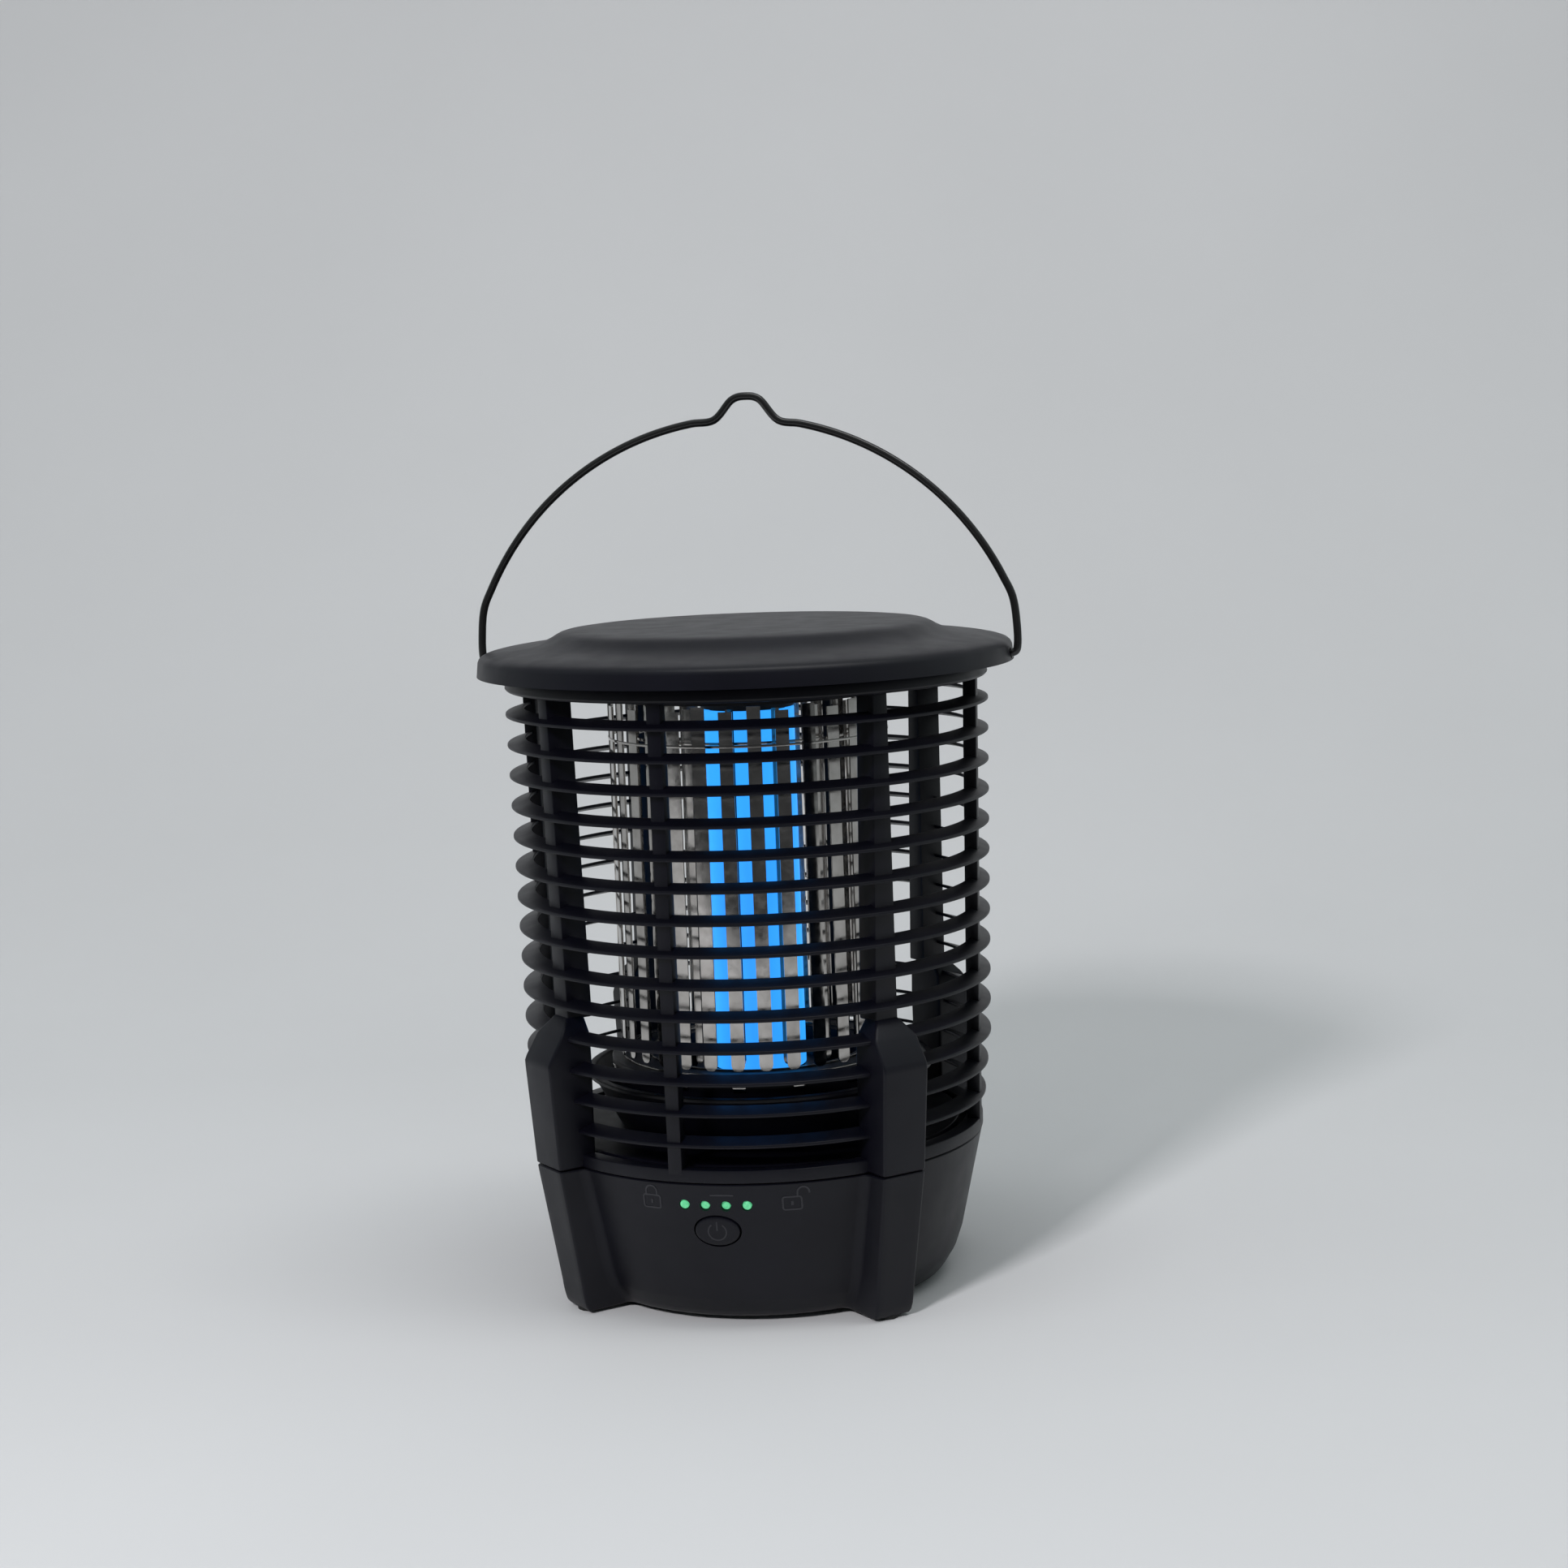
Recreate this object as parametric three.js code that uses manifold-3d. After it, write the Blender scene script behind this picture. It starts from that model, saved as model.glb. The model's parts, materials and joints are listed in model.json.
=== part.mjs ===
// Cordless electric bug zapper lantern: a louvred cage round a lamp and two high-voltage grids,
// on a base with four legs, with a disc lid and a wire handle.
// Millimetres, +Z up. The origin is on the axis, on the surface that the zapper stands on.
// The front, with the button and the indicator lights, faces -Y.

import * as THREE from 'three';
import { ConvexGeometry } from 'three/addons/geometries/ConvexGeometry.js';
import { mergeVertices } from 'three/addons/utils/BufferGeometryUtils.js';
import Module from 'manifold-3d';

const wasm = await Module();
wasm.setup();

// ---- Driving dimensions ----

const GAP = 0.3;                    // clearance between touching pieces
const ROUND = 32;                   // facets round a large circle
const LOUVRE_ROUND = 24;            // facets round a louvre ring
const PAD_ROUND = 16;               // facets round a foot pad

const LOUVRE = {
  count: 14,
  topZ: 178,                        // lower outer edge of the highest ring
  pitch: 9.37,
  topR: 74,
  twelfthR: 72.2,                   // the cage narrows to here at the twelfth ring
  lastR: [71.1, 70.1],              // the two rings under it step in faster
  width: 5.6,
  rise: 1.7,                        // how far the inner edge stands above the outer one
  thick: 1.0,
};

const COLLAR = { z0: 185.8, z1: 189.6, r: 74, innerR: 70.5, plateZ: 187.6, holeR: 24 };
const RING = { z0: 45.7, z1: 49.5, r: 68.9, innerR: 64 };
const POST = {
  topR: 71.3,
  bottomR: 68.9,
  depth: 8.5,
  topHalf: 2.5,
  lowHalf: 3.9,
  thinHalf: 2.2,
  thinDepth: 4,
};
const MAIN_POST_ANGLES = [45, 135, 225, 315];     // degrees from the front, towards +X
const THIN_POST_ANGLES = [-9.5, 90, 170.5, 270];

// Leg outline: height, distance of its face from the axis, half width of the face.
const SHOULDER = { z: 91, r: 69.9, half: 3.9 };
const BROW = { z: 85.5, r: 74, half: 7.4 };
const KNEE = { z: 77.5, r: 78.8, half: 7.8 };
const SEAM = { z: 45.5, r: 76.35, half: 7.4 };
const ANKLE = { z: 4, r: 69.3, half: 6.7 };
const LEG_ROOT = 54.2;              // the lower leg reaches in to here, inside the base wall
const SOLE = { z: 0.8, r: 67.6, half: 6.2, innerR: 60.5 };

const LID = { rimR: 82.3, rimZ: 190.4, edgeR: 80.8, edgeZ: 195.2, discR: 56.6, topZ: 203.2, wall: 2.2 };

const WIRE = {
  r: 1.2,
  pivotZ: 192.6,
  sideX: 84,                        // the straight ends stand this far from the axis
  straightZ: 201,                   // top of the straight part
  arcR: 89.4,
  arcZ: 176.1,                      // height of the arc's centre
  humpX: 3,                         // the hump sits a little off centre
  humpHalf: 10,
  humpRise: 6.6,
  arcStart: 22,                     // degrees above the centre's level, where the arc begins
  arcSteps: 11,
  bend: 2,
  hookX: 76.5,                      // the ends reach in to here
};

const GRID = {
  outerR: 42.9,
  innerR: 35,
  wall: 0.8,
  bars: 32,
  barShare: 0.5,                    // share of the circle that the bars take
  firstBar: 3.75,                   // degrees from the front
  z0: 71.4,
  z1: 181.9,
  band: 2,
};
const LAMP = { r: 13.4, wall: 1.2, z0: 66, z1: 177.5 };
const LAMP_BOARD = { half: 4.5, thick: 1.6, z0: 70, z1: 172 };
const LED = { count: 6, half: 2.5, high: 5, proud: 1.4, firstZ: 80, pitch: 16.5 };
const SOCKET = { r: 12.6, z0: 62.5, plugR: 11.6, plugZ: 69.5 };
const LAMP_CAP = { r: 14, high: 3.7, plugR: 11.6, plugZ: 174 };

const BASE = {
  wall: 2.4,
  rimR: 68.6,
  rimZ: 45.3,
  lowR: 61.7,
  lowZ: 14.2,
  bottomZ: 1.6,
  floorZ: 6.6,                      // top of the floor inside
  mouthR: 50.2,                     // recess that the bottom cover fills
  mouthZ: 4,
  hatchR: 42.5,                     // hole over the cover, for the cells
};
const DECK = {
  z0: 46.8,
  z1: 49.2,
  r: 61.5,
  holeR: 5,
  skirt: 3,
  flangeR: 64.9,
  flangeZ0: 42.8,
  flangeZ1: 45.2,
};
const LUG = { half: 7, high: 0.9, deckR: 62.9 };    // bayonet lugs of the cage, with the deck's above them
const TRAY = {
  innerR: 17.7,
  innerZ: 58,
  floorR: 44,
  lipR: 54,
  lipWidth: 2.6,
  z0: 49.6,
  lipZ: 67,
  wall: 1.4,
};
const HOLDER = {
  r: 46,
  innerR: 31.5,
  z0: 65,
  z1: 71,
  hubR: 20,
  hubZ: 62,
  columnR: 17,
  wall: 3,
  spokeHalf: 2.5,
};

const WALL_TILT = Math.atan((BASE.rimR - BASE.lowR) / (BASE.rimZ - BASE.lowZ));
const PANEL_Z = 30.6;               // height of the button's centre
const PANEL_R = BASE.rimR - (BASE.rimZ - PANEL_Z) * Math.tan(WALL_TILT);
const BUTTON = { halfWidth: 6.7, halfHeight: 4.7, depth: 3.4, proud: 0.3, slot: 0.45, travel: 1 };
const LIGHT = { r: 1.35, hole: 1.65, count: 4, pitch: 6.2, up: 8.1, recess: 0.6, length: 4.6 };
const SWITCH = { half: 3, back: 7.6 };
const PANEL_BOARD = { half: 14, near: 7.9, far: 9.5, low: -6, high: 9.8 };
const PORT = { z: 22, width: 9, height: 3.3, depth: 7.4, y: 55.8, wall: 0.35, mouth: 6, tongue: 0.7 };

const PAD = { r: 4, high: 1.8, at: 64 };
const COVER_Z = 1.9;                // underside of the bottom cover
const SCREW_ANGLES = [0, 90, 180, 270];
const LID_SCREW = { at: 58, turn: 0, hole: 1.6, shank: 1.25, head: 2.6, headHigh: 1.6, length: 8 };
const COVER_SCREW = { at: 46.3, turn: 45, shank: 1.1, head: 2.2, headHigh: 1.2, length: 4 };
const DECK_SCREW = { at: 40, turn: 45, shank: 1.25, head: 2.6, headHigh: 1.6, length: 6 };
const BOSS = { lid: 4, deck: 3.5 };
const EAR = { near: 73.5, far: 81, half: 4.5, topZ: 196 };

const BOARD = { z0: 33.6, z1: 35.2, half: 36 };
const TRANSFORMER = { x: [-24, -8], y: [-8, 8], z1: 46.2 };
const CAPACITOR = { x: [4, 22], y: [2, 9], z1: 45 };
const CELL = { r: 9.15, length: 65, z: 18, y: 10.2 };
const CRADLE = { halfX: 36, halfY: 22, z0: 4, z1: 16, endGap: 0.6 };

// ---- Finishes ----

const finish = (color, roughness, metalness) =>
  new THREE.MeshStandardMaterial({ color, roughness, metalness });
const blackPlastic = () => finish(0x17181c, 0.55, 0);
const blackMetal = () => finish(0x101113, 0.25, 0.9);
const steel = () => finish(0xb8bbc0, 0.25, 1);
const circuitBoard = () => finish(0x1d5b36, 0.6, 0);
const blackPart = () => finish(0x202124, 0.5, 0);
const rubber = () => finish(0x0c0c0d, 0.9, 0);
const blueDiffuser = () => finish(0x3f9bff, 0.35, 0);
const greenLens = () => finish(0x5fd08a, 0.3, 0);
const cellWrap = () => finish(0x2a5fb0, 0.5, 0);
const yellowTape = () => finish(0xc8a23a, 0.6, 0);
const brownResin = () => finish(0x8a2f1f, 0.5, 0);

// ---- Shape helpers ----

const degrees = THREE.MathUtils.degToRad;

// Point at a distance from the axis, in the direction that an angle from the front gives.
function polar(radius, angle, z, side = 0) {
  const a = degrees(angle);
  return new THREE.Vector3(
    radius * Math.sin(a) + side * Math.cos(a),
    -radius * Math.cos(a) + side * Math.sin(a),
    z,
  );
}

// Solid of revolution about Z. The outline is a list of [radius, z], anticlockwise in that plane.
function revolve(outline, segments = ROUND) {
  const points = outline.map(([r, z]) => new THREE.Vector2(r, z));
  const first = points[0];
  const last = points[points.length - 1];
  if (first.x > 0 || last.x > 0) points.push(first.clone());
  return new THREE.LatheGeometry(points, segments).rotateX(Math.PI / 2);
}

// Tube wall or washer between two radii.
const sleeve = (inner, outer, z0, z1, segments = ROUND) =>
  revolve([[inner, z0], [outer, z0], [outer, z1], [inner, z1]], segments);

const rod = (r, z0, z1, segments = 12) => revolve([[0, z0], [r, z0], [r, z1], [0, z1]], segments);

const onCircle = (geometry, radius, angle) => {
  const { x, y } = polar(radius, angle, 0);
  return geometry.translate(x, y, 0);
};

// Four upright rods or holes at the places of a set of screws.
const atScrews = (size, r, z0, z1, segments) =>
  SCREW_ANGLES.map((angle) => onCircle(rod(r, z0, z1, segments), size.at, angle + size.turn));

const block = (x0, x1, y0, y1, z0, z1) =>
  new THREE.BoxGeometry(x1 - x0, y1 - y0, z1 - z0).translate((x0 + x1) / 2, (y0 + y1) / 2, (z0 + z1) / 2);

// Solid between two rectangles that lie across a radial direction. An end gives z, near, far and half.
function strut(angle, ...ends) {
  const corners = [];
  for (const { z, near, far, half } of ends) {
    for (const radius of [near, far]) {
      corners.push(polar(radius, angle, z, -half), polar(radius, angle, z, half));
    }
  }
  return new ConvexGeometry(corners);
}

function ellipsePlate(halfWidth, halfHeight, depth, segments = 10) {
  const shape = new THREE.Shape();
  shape.absellipse(0, 0, halfWidth, halfHeight, 0, 2 * Math.PI);
  return new THREE.ExtrudeGeometry(shape, { depth, bevelEnabled: false, curveSegments: segments });
}

function toSolid(geometry) {
  const bare = geometry.clone();
  bare.deleteAttribute('normal');
  bare.deleteAttribute('uv');
  const merged = mergeVertices(bare, 1e-4);
  const triangles = [];
  const index = merged.index.array;
  for (let i = 0; i < index.length; i += 3) {
    const [a, b, c] = [index[i], index[i + 1], index[i + 2]];
    if (a !== b && b !== c && c !== a) triangles.push(a, b, c);
  }
  return new wasm.Manifold(new wasm.Mesh({
    numProp: 3,
    vertProperties: new Float32Array(merged.attributes.position.array),
    triVerts: new Uint32Array(triangles),
  }));
}

function fromSolid(solid) {
  const mesh = solid.getMesh();
  const geometry = new THREE.BufferGeometry();
  geometry.setAttribute('position', new THREE.BufferAttribute(new Float32Array(mesh.vertProperties), 3));
  geometry.setIndex(new THREE.BufferAttribute(new Uint32Array(mesh.triVerts), 1));
  geometry.computeVertexNormals();
  return geometry;
}

const joined = (geometries) =>
  geometries.map(toSolid).reduce((whole, solid) => whole.add(solid));

function carve(additions, cuts = []) {
  let solid = joined(additions);
  for (const cut of cuts) solid = solid.subtract(toSolid(cut));
  return fromSolid(solid);
}

const group = new THREE.Group();

function add(name, geometry, material, parent = group) {
  const mesh = new THREE.Mesh(geometry, material);
  mesh.name = name;
  parent.add(mesh);
  return mesh;
}

// ---- Cage ----

function louvreRadius(i) {
  const twelfth = 11;
  if (i <= twelfth) return THREE.MathUtils.lerp(LOUVRE.topR, LOUVRE.twelfthR, i / twelfth);
  return LOUVRE.lastR[i - twelfth - 1];
}

const louvreZ = (i) => LOUVRE.topZ - i * LOUVRE.pitch;

// One ring, or with a clearance the slot that it passes through.
function louvreRing(i, clear = 0) {
  const r = louvreRadius(i) + clear;
  const z = louvreZ(i);
  const innerR = r - LOUVRE.width - 2 * clear;
  const innerZ = z + LOUVRE.rise;
  return revolve([
    [r, z - clear],
    [r, z + LOUVRE.thick + clear],
    [innerR, innerZ + LOUVRE.thick + clear],
    [innerR, innerZ - clear],
  ], LOUVRE_ROUND);
}

function postFace(z) {
  return THREE.MathUtils.mapLinear(z, RING.z0, COLLAR.z0, POST.bottomR, POST.topR);
}

function post(angle, zs, halves, depth, clear) {
  return strut(angle, ...zs.map((z, i) => ({
    z,
    near: postFace(z) - depth - clear,
    far: postFace(z) + clear,
    half: halves[i] + clear,
  })));
}

const posts = (clear = 0) => [
  ...MAIN_POST_ANGLES.map((angle) =>
    post(angle, [COLLAR.z0 + 1, SHOULDER.z - 1], [POST.topHalf, POST.lowHalf], POST.depth, clear)),
  ...THIN_POST_ANGLES.map((angle) =>
    post(angle, [COLLAR.z0 + 1, RING.z0 + 2], [POST.thinHalf, POST.thinHalf], POST.thinDepth, clear)),
];

// A ring is notched for the posts, and passes through slots in the legs.
const louvre = (i) => carve([louvreRing(i)], posts(GAP));

// Upper half of a leg, which ends at the seam above the base.
function upperLeg(angle) {
  const near = RING.innerR;
  const end = ({ z, r, half }) => ({ z, near, far: r, half });
  const foot = { z: RING.z0, r: SEAM.r, half: SEAM.half };
  return [
    strut(angle, end(SHOULDER), end(BROW)),
    strut(angle, end(BROW), end(KNEE)),
    strut(angle, end(KNEE), end(foot)),
  ];
}

const lugBlocks = (z0, z1, near, far) => MAIN_POST_ANGLES.map((angle) => strut(
  angle,
  { z: z0, near, far, half: LUG.half },
  { z: z1, near, far, half: LUG.half },
));

function cage() {
  const collar = revolve([
    [COLLAR.holeR, COLLAR.plateZ],
    [COLLAR.innerR, COLLAR.plateZ],
    [COLLAR.innerR, COLLAR.z0],
    [COLLAR.r - 0.8, COLLAR.z0],
    [COLLAR.r, COLLAR.z0 + 0.8],
    [COLLAR.r - 0.6, COLLAR.z1],
    [COLLAR.holeR, COLLAR.z1],
  ]);
  const ring = sleeve(RING.innerR, RING.r, RING.z0, RING.z1);
  const lugs = lugBlocks(RING.z0, RING.z0 + LUG.high, DECK.r + GAP, RING.innerR + 1);
  const inLegs = Array.from({ length: LOUVRE.count }, (_, i) => i).filter((i) => louvreZ(i) < SHOULDER.z);
  const legs = carve(MAIN_POST_ANGLES.flatMap(upperLeg), inLegs.map((i) => louvreRing(i, GAP)));
  const holes = atScrews(LID_SCREW, LID_SCREW.hole, COLLAR.plateZ - 1, COLLAR.z1 + 1);
  return carve([collar, ring, ...posts(), legs, ...lugs], holes);
}

// ---- Screws ----

// Pan-head screw that points upwards from its head.
function screw({ shank, head, headHigh, length }) {
  const tip = headHigh + length;
  return revolve([[0, 0], [head, 0], [head, headHigh], [shank, headHigh], [shank, tip], [0, tip]], 8);
}

function addScrews(prefix, size, headZ) {
  SCREW_ANGLES.forEach((angle, i) => {
    const mesh = add(`${prefix}_${i + 1}`, screw(size), steel());
    mesh.position.copy(polar(size.at, angle + size.turn, headZ));
  });
}

// ---- Lid and handle ----

function lid() {
  const { rimR, rimZ, edgeR, edgeZ, discR, topZ, wall } = LID;
  const shell = revolve([
    [0, topZ - wall],
    [discR - 3.4, topZ - wall - 0.3],
    [discR + 1.4, topZ - wall - 2.2],
    [62.2, 197.2],
    [76.2, 195.1],
    [edgeR - 2, edgeZ - 1.6],
    [edgeR - 0.2, rimZ],
    [rimR, rimZ],
    [edgeR, edgeZ],
    [79.8, 196.4],
    [77.2, 197.2],
    [70, 198.2],
    [63, 199.4],
    [discR + 2.7, topZ - 2.3],
    [discR, topZ - 0.8],
    [discR - 5, topZ],
    [0, topZ],
  ]);
  const bosses = atScrews(LID_SCREW, BOSS.lid, COLLAR.z1 + GAP, topZ - wall - 1);
  const ears = [0, 180].map((turn) =>
    block(EAR.near, EAR.far, -EAR.half, EAR.half, COLLAR.z1 + GAP, EAR.topZ).rotateZ(degrees(turn)));
  const shankTop = COLLAR.plateZ - GAP + LID_SCREW.length + 2 * GAP;
  const shankHoles = atScrews(LID_SCREW, LID_SCREW.shank + GAP, COLLAR.z1, shankTop);
  const pivotHoles = [0, 180].map((turn) => rod(WIRE.r + GAP, WIRE.hookX - 1, EAR.far + 6)
    .rotateY(Math.PI / 2)
    .translate(0, 0, WIRE.pivotZ)
    .rotateZ(degrees(turn)));
  return carve([shell, ...bosses, ...ears], [...shankHoles, ...pivotHoles]);
}

// Centre line of the handle from one hooked end to the other: straight ends, an arc and a hump.
function handlePoints() {
  const end = [
    [WIRE.hookX, WIRE.pivotZ],
    [WIRE.sideX - WIRE.bend, WIRE.pivotZ],
    [WIRE.sideX - 0.25 * WIRE.bend, WIRE.pivotZ + 0.3 * WIRE.bend],
    [WIRE.sideX, WIRE.pivotZ + WIRE.bend],
    [WIRE.sideX, WIRE.straightZ],
  ];
  // From the end of the straight part up to a point that is x to the side of the axis.
  const arc = (x) => Array.from({ length: WIRE.arcSteps + 1 }, (_, i) => {
    const a = THREE.MathUtils.lerp(degrees(WIRE.arcStart), Math.acos(x / WIRE.arcR), i / WIRE.arcSteps);
    return [WIRE.arcR * Math.cos(a), WIRE.arcZ + WIRE.arcR * Math.sin(a)];
  });
  const top = WIRE.arcZ + WIRE.arcR + WIRE.humpRise;
  const hump = [[-4.5, -1.2], [-2.4, -0.2], [0, 0], [2.4, -0.2], [4.5, -1.2]]
    .map(([x, z]) => [WIRE.humpX + x, top + z]);
  const left = [...end, ...arc(WIRE.humpHalf - WIRE.humpX)].map(([x, z]) => [-x, z]);
  const right = [...end, ...arc(WIRE.humpHalf + WIRE.humpX)].reverse();
  return [...left, ...hump, ...right].map(([x, z]) => new THREE.Vector3(x, 0, z));
}

function handle() {
  const points = handlePoints();
  const section = new THREE.Shape();
  section.absarc(0, 0, WIRE.r, 0, 2 * Math.PI);
  const extrudePath = new THREE.CatmullRomCurve3(points, false, 'centripetal');
  return new THREE.ExtrudeGeometry(section, { steps: points.length + 15, curveSegments: 4, extrudePath });
}

// ---- Grids and lamp ----

// Stamped cylinder of vertical bars between two plain bands.
function gridCylinder(radius, bars) {
  const { wall, z0, z1, band, barShare, firstBar } = GRID;
  const tube = sleeve(radius - wall, radius, z0, z1, 2 * bars);
  const half = radius * Math.sin(Math.PI / bars * (1 - barShare));
  const cut = { near: radius - 3, far: radius + 2, half };
  const slots = Array.from({ length: bars }, (_, i) =>
    strut(firstBar + 360 / bars * (i + 0.5), { z: z0 + band, ...cut }, { z: z1 - band, ...cut }));
  return carve([tube], slots);
}

function bottomHolder() {
  const { r, innerR, z0, z1, hubR, hubZ, columnR, wall, spokeHalf } = HOLDER;
  const ring = sleeve(innerR, r, z0, z1);
  const hub = sleeve(columnR - wall, hubR, hubZ, z0 + 0.5);
  const column = sleeve(columnR - wall, columnR, DECK.z1 + GAP, hubZ + 1);
  const spoke = { near: hubR - 2, far: innerR + 2, half: spokeHalf };
  const spokes = MAIN_POST_ANGLES.map((angle) =>
    strut(angle, { z: hubZ, ...spoke }, { z: z0 + 2, ...spoke }));
  return carve([ring, hub, column, ...spokes]);
}

function topHolder() {
  const bottom = GRID.z1 + GAP;
  const innerR = LAMP.r + 1.6;
  const outerR = GRID.outerR + 1.5;
  const spigotR = COLLAR.holeR - 0.5;
  return revolve([
    [innerR, bottom],
    [outerR, bottom],
    [outerR, COLLAR.plateZ - GAP],
    [spigotR, COLLAR.plateZ - GAP],
    [spigotR, COLLAR.z1],
    [innerR, COLLAR.z1],
  ]);
}

function lampBoard() {
  const { half, thick, z0, z1 } = LAMP_BOARD;
  const board = block(-half, half, -thick / 2, thick / 2, z0, z1);
  const lights = Array.from({ length: LED.count }, (_, i) => {
    const z = LED.firstZ + i * LED.pitch;
    return block(-LED.half, LED.half, -thick / 2 - LED.proud, 0, z, z + LED.high);
  });
  return carve([board, ...lights]);
}

const lampSocket = () => revolve([
  [0, SOCKET.z0],
  [SOCKET.r, SOCKET.z0],
  [SOCKET.r, LAMP.z0 - GAP],
  [SOCKET.plugR, LAMP.z0 - GAP],
  [SOCKET.plugR, SOCKET.plugZ],
  [0, SOCKET.plugZ],
]);

const lampCap = () => revolve([
  [0, LAMP_CAP.plugZ],
  [LAMP_CAP.plugR, LAMP_CAP.plugZ],
  [LAMP_CAP.plugR, LAMP.z1 + GAP],
  [LAMP_CAP.r, LAMP.z1 + GAP],
  [LAMP_CAP.r, LAMP.z1 + GAP + LAMP_CAP.high],
  [0, LAMP.z1 + GAP + LAMP_CAP.high],
]);

// ---- Base ----

// Dish round the grid holder, with a raised edge at its centre hole and a flat lip outside.
function insectTray() {
  const { innerR, innerZ, floorR, lipR, lipWidth, z0, lipZ, wall } = TRAY;
  return revolve([
    [innerR, z0],
    [floorR, z0],
    [lipR - lipWidth + 1, lipZ - wall],
    [lipR, lipZ - wall],
    [lipR, lipZ],
    [lipR - lipWidth, lipZ],
    [floorR - 0.8, z0 + wall],
    [innerR + wall, z0 + wall],
    [innerR + wall, innerZ],
    [innerR, innerZ],
  ]);
}

function lowerLeg(angle) {
  const near = LEG_ROOT;
  const top = { z: SEAM.z - 0.2, near, far: SEAM.r, half: SEAM.half };
  const ankle = { z: ANKLE.z, near, far: ANKLE.r, half: ANKLE.half };
  const sole = { z: SOLE.z, near: SOLE.innerR, far: SOLE.r, half: SOLE.half };
  return [strut(angle, top, ankle), strut(angle, ankle, sole)];
}

// Things set in the front wall share the wall's slant: -Y of this frame is the wall's outward normal.
function panelFrame() {
  const frame = new THREE.Group();
  frame.position.set(0, -PANEL_R, PANEL_Z);
  frame.rotation.x = WALL_TILT;
  frame.updateMatrixWorld();
  return frame;
}

const lightPlaces = Array.from({ length: LIGHT.count }, (_, i) =>
  (i - (LIGHT.count - 1) / 2) * LIGHT.pitch);

// Turns a shape that runs up from z = 0 so that it runs inwards through the wall from `start`.
const inward = (geometry, x, up, start) => geometry.rotateX(-Math.PI / 2).translate(x, start, up);

function panelCuts(frame) {
  const start = -4;
  const depth = 12;
  const slot = ellipsePlate(BUTTON.halfWidth + BUTTON.slot, BUTTON.halfHeight + BUTTON.slot, depth);
  const holes = lightPlaces.map((x) => inward(rod(LIGHT.hole, 0, depth), x, LIGHT.up, start));
  return [inward(slot, 0, 0, start), ...holes].map((cut) => cut.applyMatrix4(frame.matrixWorld));
}

function baseShell(frame) {
  const { rimR, rimZ, lowR, lowZ, bottomZ, floorZ, mouthR, mouthZ, hatchR, wall } = BASE;
  const outer = revolve([
    [0, bottomZ],
    [54, bottomZ],
    [57.2, 4.4],
    [59.7, 8.4],
    [lowR, lowZ],
    [rimR, rimZ],
    [0, rimZ],
  ]);
  const legs = MAIN_POST_ANGLES.flatMap(lowerLeg);
  const hollow = revolve([
    [0, floorZ],
    [54.6, floorZ],
    [lowR - wall - 0.6, lowZ],
    [rimR - wall, rimZ + 1],
    [0, rimZ + 1],
  ]);
  const mouth = rod(mouthR, bottomZ - 1, mouthZ, ROUND);
  const hatch = rod(hatchR, mouthZ - 1, floorZ + 1, ROUND);
  const port = block(-PORT.width / 2 - GAP, PORT.width / 2 + GAP, PORT.y - 6, rimR + 3,
    PORT.z - PORT.height / 2 - GAP, PORT.z + PORT.height / 2 + GAP);
  const padHoles = MAIN_POST_ANGLES.map((angle) =>
    onCircle(rod(PAD.r + GAP, 0, PAD.high + GAP, PAD_ROUND), PAD.at, angle));
  const coverScrews = atScrews(COVER_SCREW, COVER_SCREW.shank + GAP, mouthZ - 1, floorZ + 1);
  const cuts = [hollow, mouth, hatch, port, ...padHoles, ...coverScrews, ...panelCuts(frame)];
  return carve([outer, ...legs], cuts);
}

function bottomCover() {
  const top = BASE.mouthZ - GAP;
  const holes = atScrews(COVER_SCREW, COVER_SCREW.shank + GAP, COVER_Z - 1, top + 1);
  const wellTop = COVER_Z + COVER_SCREW.headHigh + GAP / 2;
  const wells = atScrews(COVER_SCREW, COVER_SCREW.head + GAP, COVER_Z - 1, wellTop);
  return carve([rod(BASE.mouthR - GAP, COVER_Z, top, ROUND)], [...holes, ...wells]);
}

function deck() {
  const { z0, z1, r, holeR, skirt, flangeR, flangeZ0, flangeZ1 } = DECK;
  const plate = revolve([
    [holeR, z0],
    [r - skirt, z0],
    [r - skirt, flangeZ0],
    [flangeR, flangeZ0],
    [flangeR, flangeZ1],
    [r, flangeZ1],
    [r, z1],
    [holeR, z1],
  ]);
  const lugs = lugBlocks(RING.z0 + LUG.high + GAP, z1, r - 1, LUG.deckR);
  const posts = atScrews(DECK_SCREW, BOSS.deck, BOARD.z1 + GAP, z0 + 1);
  const holes = atScrews(DECK_SCREW, DECK_SCREW.shank + GAP, BOARD.z0, z0 - 2);
  return carve([plate, ...lugs, ...posts], holes);
}

function mainBoard() {
  const { half, z0, z1 } = BOARD;
  const holes = atScrews(DECK_SCREW, DECK_SCREW.shank + GAP, z0 - 1, z1 + 1);
  return carve([block(-half, half, -half, half, z0, z1)], holes);
}

function cellCradle() {
  const { halfX, halfY, z0, z1, endGap } = CRADLE;
  const reach = CELL.length / 2 + endGap;
  const beds = [-1, 1].map((side) =>
    rod(CELL.r + GAP, -reach, reach, 24).rotateY(Math.PI / 2).translate(0, side * CELL.y, CELL.z));
  return carve([block(-halfX, halfX, -halfY, halfY, z0, z1)], beds);
}

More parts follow.
